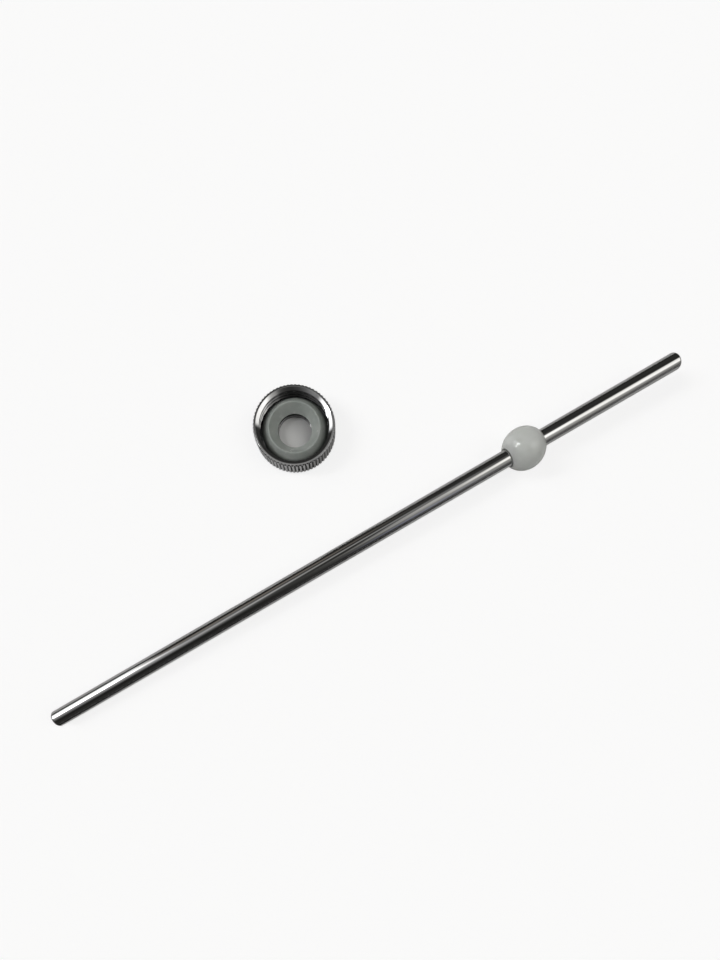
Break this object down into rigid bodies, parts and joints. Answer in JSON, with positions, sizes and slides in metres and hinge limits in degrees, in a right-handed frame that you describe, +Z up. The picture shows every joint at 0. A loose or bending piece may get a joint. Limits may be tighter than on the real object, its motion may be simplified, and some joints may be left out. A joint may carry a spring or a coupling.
{
  "type": "pop-up drain pivot ball rod kit",
  "caption": "Round metal rod with a pressed-on plastic pivot ball, a knurled internally threaded retaining nut and the ball's seat washer, laid out as a kit.",
  "frame": {"origin": "bottom centre of the bounding box of the laid-out kit, on the surface it lies on", "axes": "+X along the rod towards its short end, +Y from the rod towards the nut, +Z up"},
  "size_m": [0.2068, 0.0566, 0.0122],
  "materials": {
    "polished_steel": "round bar, ground and polished almost to a mirror, with faint lengthwise drawing lines",
    "milky_plastic": "milky, slightly translucent, smooth moulded, glossy",
    "chrome_plate": "bright chrome plate over a machined nut, straight knurl",
    "translucent_plastic": "natural translucent plastic with a grey-green cast, satin gloss"
  },
  "bodies": {
    "nut": {"retaining_nut": "chrome_plate"},
    "seat": {"seat_washer": "translucent_plastic"},
    "rod": {"pivot_rod": "polished_steel", "pivot_ball": "milky_plastic"}
  },
  "joints": [
    {"name": "rod_swing", "type": "hinge", "parent": "nut", "child": "rod", "pos_m": [0.05384, -0.02225, 0.0061], "axis": [0, 0, 1], "range_deg": [-18, 18]},
    {"name": "seat_lift", "type": "slide", "parent": "nut", "child": "seat", "axis": [0, 0, 1], "range_m": [0, 0.01]}
  ]
}
